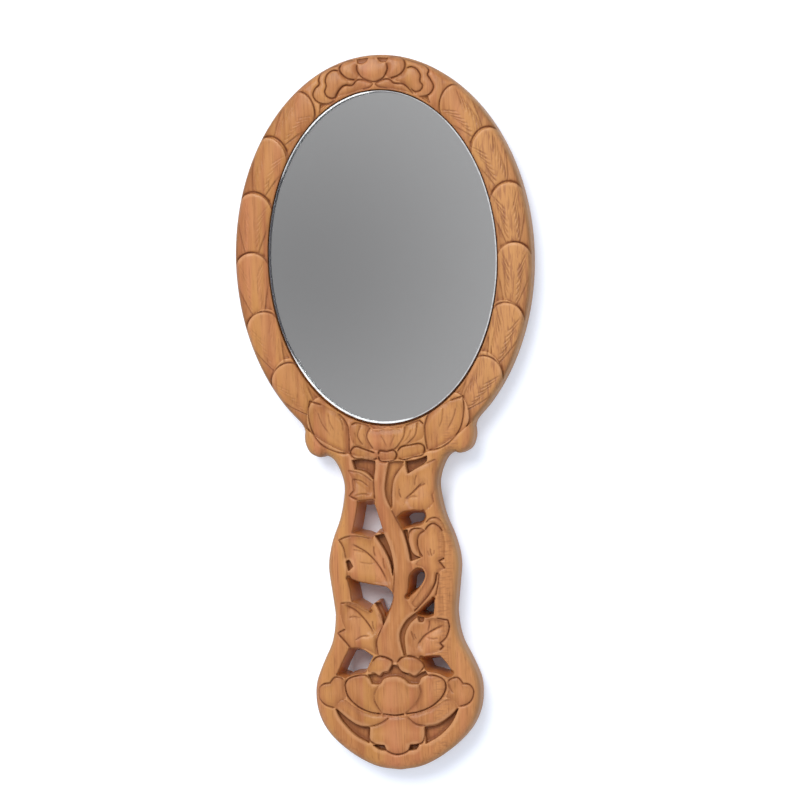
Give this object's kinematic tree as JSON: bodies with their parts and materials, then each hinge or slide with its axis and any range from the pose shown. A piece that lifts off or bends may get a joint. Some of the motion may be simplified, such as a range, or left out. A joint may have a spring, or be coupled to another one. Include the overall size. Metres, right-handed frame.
{
  "type": "hand mirror",
  "caption": "Hand mirror: an oval mirror pane let into a carved wooden head, with a flat handle pierced and carved with leaves, buds and a lotus.",
  "frame": {"origin": "on the flat back, at the middle of the overall length and width, with the mirror lying on its back", "axes": "+X right when looking at the mirror's face, +Y from the handle to the top of the head, +Z out of the mirror's face"},
  "size_m": [0.1048, 0.25, 0.014],
  "materials": {
    "wood": "hand-carved, honey-coloured, thin satin lacquer",
    "glass": "clear float glass, polished face, ground edge",
    "silvering": "silver mirror coating",
    "backing_paint": "matt protective paint",
    "adhesive": "cured mirror adhesive"
  },
  "bodies": {
    "root": {"carved_body": "wood", "mirror_pane": "glass", "silver_layer": "silvering", "backing_coat": "backing_paint", "adhesive_dabs": "adhesive"}
  },
  "joints": []
}
